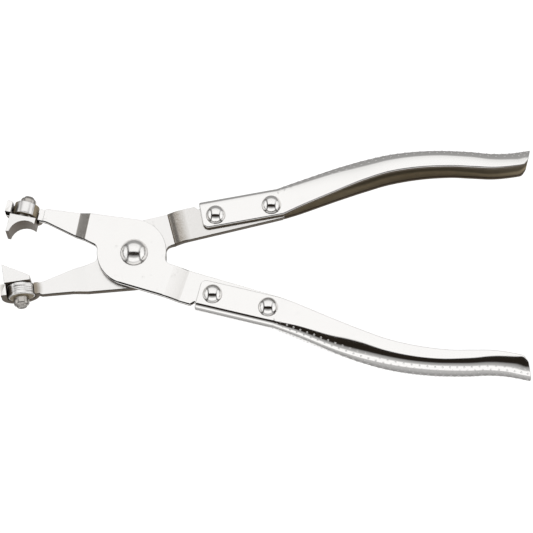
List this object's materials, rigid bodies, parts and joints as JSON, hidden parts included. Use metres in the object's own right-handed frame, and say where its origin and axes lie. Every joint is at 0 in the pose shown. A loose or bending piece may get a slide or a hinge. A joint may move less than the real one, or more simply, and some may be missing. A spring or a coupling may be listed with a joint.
{
  "type": "hose clamp pliers",
  "caption": "Scissor pliers with long sheet metal handles and swivelling jaws that grip the ears of a spring hose clamp.",
  "frame": {"origin": "centre of the underside of the whole tool's box, at the back faces of the eyes", "axes": "+X along the tool to the handle ends, +Y to the upper jaw, +Z out of the front face along the pivot"},
  "size_m": [0.2178, 0.1, 0.0158],
  "materials": {
    "arm_steel": "bright plated",
    "shell_steel": "bright plated",
    "rivet_steel": "bright plated",
    "jaw_steel": "satin plated",
    "block_steel": "satin plated",
    "pin_steel": "bright plated"
  },
  "bodies": {
    "rear_arm_body": {"rear_arm": "arm_steel", "upper_handle_shell": "shell_steel", "upper_handle_rivet_1": "rivet_steel", "upper_handle_rivet_2": "rivet_steel", "pivot_rivet": "rivet_steel"},
    "front_arm_body": {"front_arm": "arm_steel", "lower_handle_shell": "shell_steel", "lower_handle_rivet_1": "rivet_steel", "lower_handle_rivet_2": "rivet_steel"},
    "upper_swivel": {"upper_jaw": "jaw_steel", "upper_swivel_block": "block_steel", "upper_swivel_pin": "pin_steel"},
    "lower_swivel": {"lower_jaw": "jaw_steel", "lower_swivel_block": "block_steel", "lower_swivel_pin": "pin_steel"}
  },
  "joints": [
    {"name": "plier_pivot", "type": "hinge", "parent": "rear_arm_body", "child": "front_arm_body", "pos_m": [-0.05457, 0, 0.0079], "axis": [0, 0, 1], "range_deg": [-20, 12]},
    {"name": "upper_jaw_swivel", "type": "hinge", "parent": "front_arm_body", "child": "upper_swivel", "pos_m": [-0.10077, 0.0172, 0.0079], "axis": [0.1736, 0.9848, 0], "range_deg": [0, 90]},
    {"name": "lower_jaw_swivel", "type": "hinge", "parent": "rear_arm_body", "child": "lower_swivel", "pos_m": [-0.10077, -0.0172, 0.0079], "axis": [0.1736, -0.9848, 0], "range_deg": [0, 90]}
  ]
}
